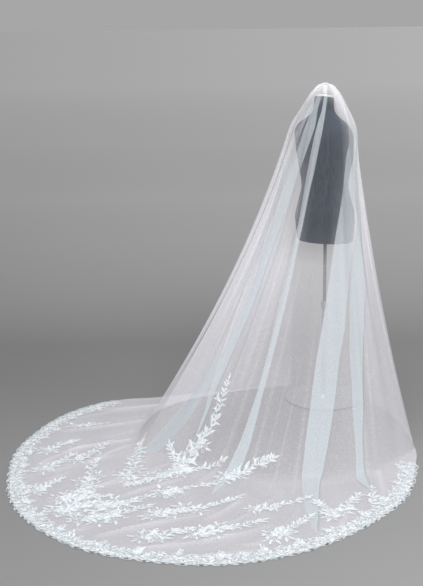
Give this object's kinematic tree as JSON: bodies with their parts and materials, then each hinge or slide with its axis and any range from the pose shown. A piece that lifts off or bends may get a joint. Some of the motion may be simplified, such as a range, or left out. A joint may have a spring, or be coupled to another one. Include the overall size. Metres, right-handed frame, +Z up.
{
  "type": "bridal veil on a dress form",
  "caption": "Cathedral-length white tulle bridal veil with a flower lace hem and train sprays, draped over a headless dress form on a pole stand with a round clear base.",
  "frame": {"origin": "on the floor, at the middle of the underside of the stand's round base", "axes": "+Z up, the form faces -Y and the veil's train runs out behind it towards +Y"},
  "size_m": [1.745, 2.037, 1.5557],
  "materials": {
    "tulle": "fine soft white tulle net, sheer",
    "lace": "corded and embroidered white flower lace",
    "comb": "thin wire comb",
    "form": "charcoal jersey stretched over a smooth form",
    "ivory": "white lacquered turned wood",
    "dark_metal": "dark grey satin tube",
    "collar": "moulded black collar",
    "chrome": "polished chrome",
    "glass": "clear polished disc"
  },
  "bodies": {
    "root": {"base_disc": "glass", "base_flange": "chrome", "pole_lower": "chrome", "pole_collar": "collar", "pole_upper": "dark_metal", "torso": "form", "neck_cap": "ivory", "neck_knob": "ivory", "comb": "comb", "tulle_right_side": "tulle", "tulle_back": "tulle", "tulle_left_side": "tulle", "tulle_train": "tulle", "lace_border": "lace", "spray_tall_stem": "lace", "spray_tall_branch": "lace", "spray_loop": "lace", "spray_chain": "lace", "spray_chain_branch": "lace", "spray_left_cluster": "lace", "spray_left_branch": "lace", "spray_far": "lace", "spray_edge_far": "lace", "spray_edge_middle": "lace", "spray_edge_near": "lace", "spray_big_left": "lace", "spray_big_right": "lace", "spray_ring": "lace", "spray_long": "lace", "spray_small_low": "lace", "spray_low_right": "lace", "spray_right": "lace", "spray_right_low": "lace", "spray_middle_right": "lace", "spray_side": "lace", "spray_side_branch": "lace", "spray_side_tip": "lace"}
  },
  "joints": []
}
